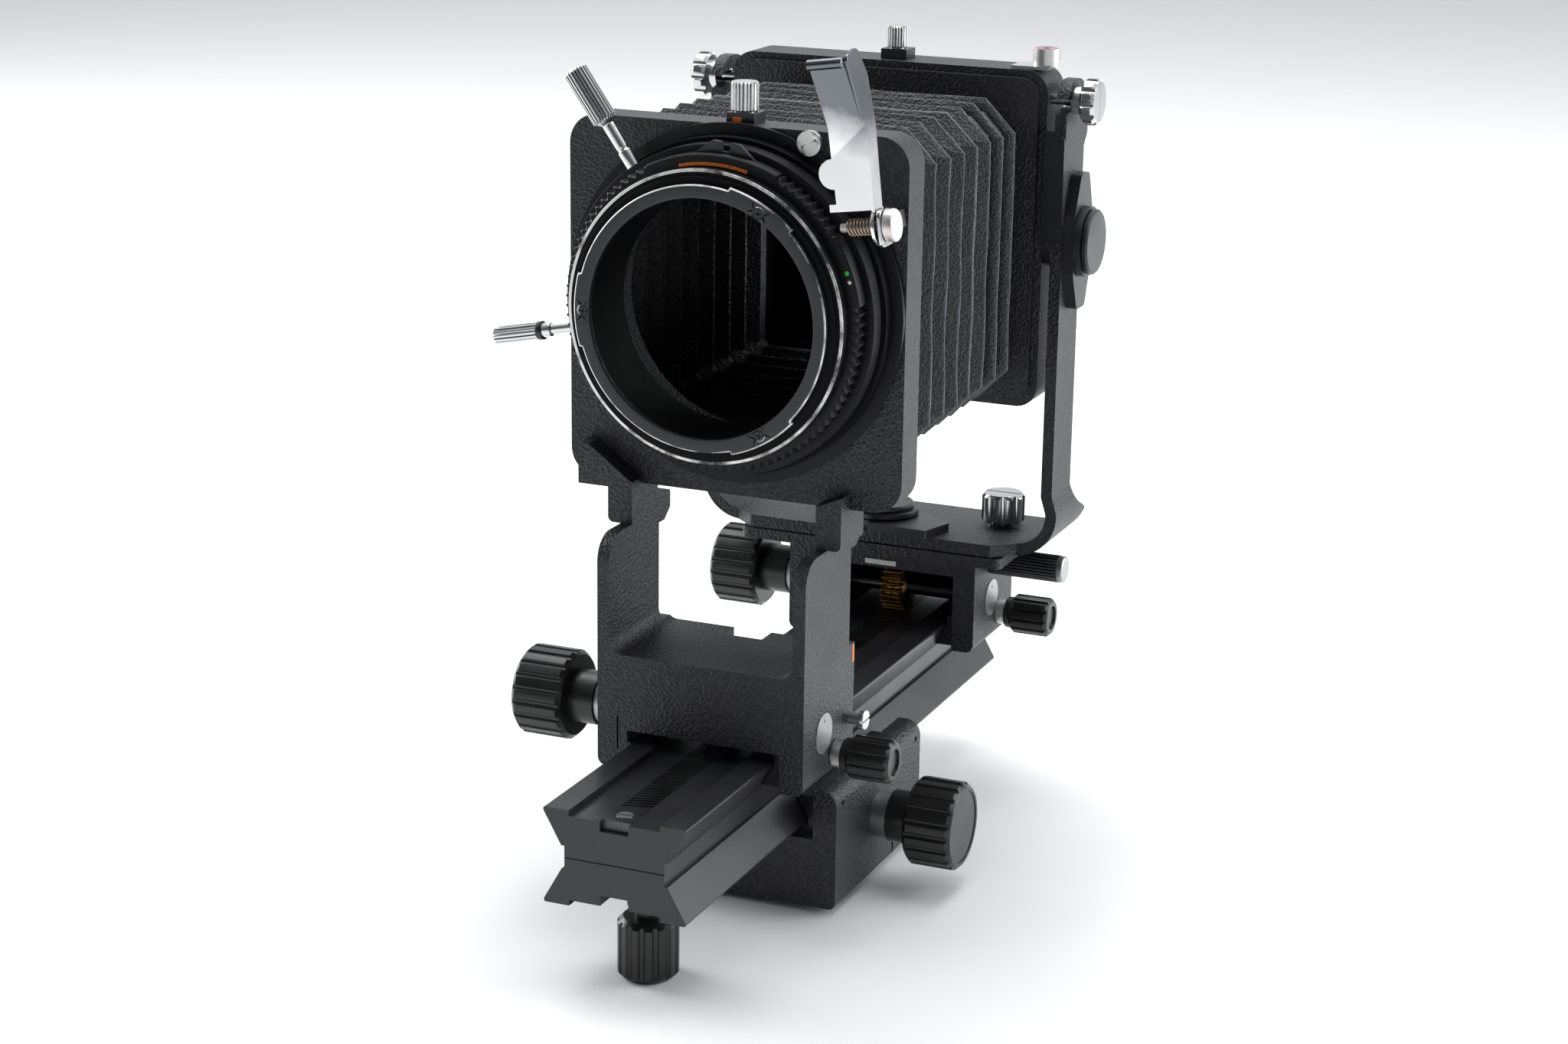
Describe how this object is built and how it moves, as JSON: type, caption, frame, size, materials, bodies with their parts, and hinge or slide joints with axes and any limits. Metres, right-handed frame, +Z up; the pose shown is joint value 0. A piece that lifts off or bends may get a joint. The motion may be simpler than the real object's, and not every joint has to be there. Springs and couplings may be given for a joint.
{
  "type": "macro bellows unit",
  "caption": "Macro bellows unit: dovetail rail on a tripod block, front standard with lens mount, bellows, and a rear frame that swings and tilts.",
  "frame": {"origin": "centre of the tripod socket's mouth on the underside of the tripod block", "axes": "+X to the camera's right seen from the front of the rail, +Y from the lens to the film side along the rail, +Z up"},
  "size_m": [0.1614, 0.292, 0.301],
  "materials": {
    "black_paint": "fine crinkle black paint",
    "black_rail": "black anodised, satin",
    "rack_steel": "machined",
    "bright_steel": "turned",
    "chrome": "satin chrome",
    "black_grip": "moulded, satin",
    "black_metal": "black anodised, turned",
    "lever_metal": "bright turned, knurled head",
    "leather": "grained bellows leather"
  },
  "bodies": {
    "tripod_block": {"tripod_block": "black_paint", "tripod_socket": "bright_steel", "block_gib": "black_metal", "block_shaft_bushes": "bright_steel"},
    "block_focus": {"block_pinion_shaft": "rack_steel", "block_focus_knob": "black_grip"},
    "block_lock": {"block_lock_screw": "bright_steel", "block_lock_knob": "black_grip"},
    "rail": {"upper_rail": "black_rail", "lower_rail": "black_rail", "racks": "rack_steel", "rack_screws": "bright_steel", "stop_stud": "bright_steel", "bellows": "leather"},
    "rail_stop": {"stop_knob": "black_grip"},
    "front": {"front_standard": "black_paint", "front_gib": "black_metal", "front_shaft_bushes": "bright_steel", "front_plate": "black_paint", "panel_disc": "black_metal", "mount_barrel": "black_metal", "bayonet_flange": "black_metal", "flange_screws": "bright_steel", "panel_button": "chrome", "panel_lock_block": "black_paint", "stop_pivot": "chrome", "stop_spring": "bright_steel"},
    "front_focus": {"front_pinion_shaft": "rack_steel", "front_focus_knob": "black_grip"},
    "front_lock": {"front_lock_screw": "bright_steel", "front_lock_knob": "black_grip"},
    "front_clamp": {"clamp_screw": "bright_steel"},
    "panel_lock": {"panel_lock_knob": "chrome"},
    "lens_ring": {"grip_ring": "black_metal", "lever_ring": "black_metal", "ring_fork": "black_metal", "ring_levers": "lever_metal"},
    "stop_lever": {"stop_lever": "chrome"},
    "rear": {"rear_carriage": "black_paint", "rear_gib": "black_metal", "rear_shaft_bushes": "bright_steel", "swing_base": "black_paint", "swing_disc": "black_metal"},
    "rear_focus": {"rear_pinion_shaft": "rack_steel", "rear_focus_knob": "black_grip"},
    "rear_lock": {"rear_lock_screw": "bright_steel", "rear_lock_knob": "black_grip"},
    "swing_rod": {"swing_rod": "chrome"},
    "swing_lever": {"swing_lever": "black_metal"},
    "yoke": {"yoke": "black_paint", "arm_covers": "black_paint", "pivot_plates": "black_paint"},
    "swing_knob": {"swing_knob": "chrome"},
    "rear_frame": {"rear_frame": "black_paint", "tilt_pivots": "black_metal", "frame_lock_block": "black_paint", "sync_socket": "chrome"},
    "frame_lock": {"frame_lock_knob": "chrome"},
    "tilt_knob_right": {"tilt_knob_right": "chrome"},
    "tilt_knob_left": {"tilt_knob_left": "chrome"}
  },
  "joints": [
    {"name": "rail_slide", "type": "slide", "parent": "tripod_block", "child": "rail", "axis": [0, 1, 0], "range_m": [-0.1, 0.055]},
    {"name": "block_focus_turn", "type": "hinge", "parent": "tripod_block", "child": "block_focus", "pos_m": [0, 0, 0.02175], "axis": [1, 0, 0], "range_deg": [-330, 595]},
    {"name": "block_lock_turn", "type": "hinge", "parent": "tripod_block", "child": "block_lock", "pos_m": [0, 0.0222, 0.033], "axis": [-1, 0, 0], "range_deg": [0, 120]},
    {"name": "rail_stop_turn", "type": "hinge", "parent": "rail", "child": "rail_stop", "pos_m": [0, -0.1094, 0.0116], "axis": [0, 0, 1], "range_deg": [-180, 180]},
    {"name": "front_slide", "type": "slide", "parent": "rail", "child": "front", "axis": [0, 1, 0], "range_m": [-0.06, 0.04], "deforming": ["bellows"]},
    {"name": "front_focus_turn", "type": "hinge", "parent": "front", "child": "front_focus", "pos_m": [0, -0.053, 0.06885], "axis": [1, 0, 0], "range_deg": [-240, 360]},
    {"name": "front_lock_turn", "type": "hinge", "parent": "front", "child": "front_lock", "pos_m": [0, -0.043, 0.0586], "axis": [1, 0, 0], "range_deg": [-120, 0]},
    {"name": "front_clamp_turn", "type": "hinge", "parent": "front", "child": "front_clamp", "pos_m": [0, -0.0313, 0.0675], "axis": [1, 0, 0], "range_deg": [-180, 180]},
    {"name": "panel_lock_turn", "type": "hinge", "parent": "front", "child": "panel_lock", "pos_m": [0, -0.0383, 0.2616], "axis": [0, 0, 1], "range_deg": [-180, 180]},
    {"name": "lens_ring_turn", "type": "hinge", "parent": "front", "child": "lens_ring", "pos_m": [0, -0.0588, 0.20967], "axis": [0, -1, 0], "range_deg": [-30, 20]},
    {"name": "stop_lever_press", "type": "hinge", "parent": "front", "child": "stop_lever", "pos_m": [0.0525, -0.0623, 0.2428], "axis": [0.9903, 0, 0.1392], "range_deg": [0, 20], "stiffness_Nm_per_rad": 0.05, "springref_deg": -17.19},
    {"name": "rear_slide", "type": "slide", "parent": "rail", "child": "rear", "axis": [0, 1, 0], "range_m": [-0.012, 0.017], "deforming": ["bellows"]},
    {"name": "rear_focus_turn", "type": "hinge", "parent": "rear", "child": "rear_focus", "pos_m": [0, 0.1146, 0.06885], "axis": [1, 0, 0], "range_deg": [-105, 75]},
    {"name": "rear_lock_turn", "type": "hinge", "parent": "rear", "child": "rear_lock", "pos_m": [0, 0.1234, 0.061], "axis": [1, 0, 0], "range_deg": [-120, 0]},
    {"name": "swing_rod_turn", "type": "hinge", "parent": "rear", "child": "swing_rod", "pos_m": [0, 0.1102, 0.085], "axis": [1, 0, 0], "range_deg": [-180, 180]},
    {"name": "swing_lever_turn", "type": "hinge", "parent": "rear", "child": "swing_lever", "pos_m": [0, 0.0952, 0.1016], "axis": [0, 0, 1], "range_deg": [-25, 25]},
    {"name": "swing", "type": "hinge", "parent": "rear", "child": "yoke", "pos_m": [0, 0.0952, 0.0976], "axis": [0, 0, 1], "range_deg": [-8, 8], "deforming": ["bellows"]},
    {"name": "swing_knob_turn", "type": "hinge", "parent": "yoke", "child": "swing_knob", "pos_m": [0.0426, 0.1102, 0.1016], "axis": [0, 0, 1], "range_deg": [-180, 180]},
    {"name": "tilt", "type": "hinge", "parent": "yoke", "child": "rear_frame", "pos_m": [0, 0.0992, 0.2124], "axis": [1, 0, 0], "range_deg": [-8, 8], "deforming": ["bellows"]},
    {"name": "frame_lock_turn", "type": "hinge", "parent": "rear_frame", "child": "frame_lock", "pos_m": [0, 0.0982, 0.2716], "axis": [0, 0, 1], "range_deg": [-180, 180]},
    {"name": "tilt_knob_right_turn", "type": "hinge", "parent": "rear_frame", "child": "tilt_knob_right", "pos_m": [0.07, 0.0962, 0.2631], "axis": [1, 0, 0], "range_deg": [-180, 180]},
    {"name": "tilt_knob_left_turn", "type": "hinge", "parent": "rear_frame", "child": "tilt_knob_left", "pos_m": [-0.07, 0.0962, 0.2631], "axis": [1, 0, 0], "range_deg": [-180, 180]}
  ],
  "couplings": [
    {"joint": "block_focus_turn", "follows": "rail_slide", "rad_per_m": -102.56},
    {"joint": "front_focus_turn", "follows": "front_slide", "rad_per_m": -102.56},
    {"joint": "rear_focus_turn", "follows": "rear_slide", "rad_per_m": -102.56}
  ]
}
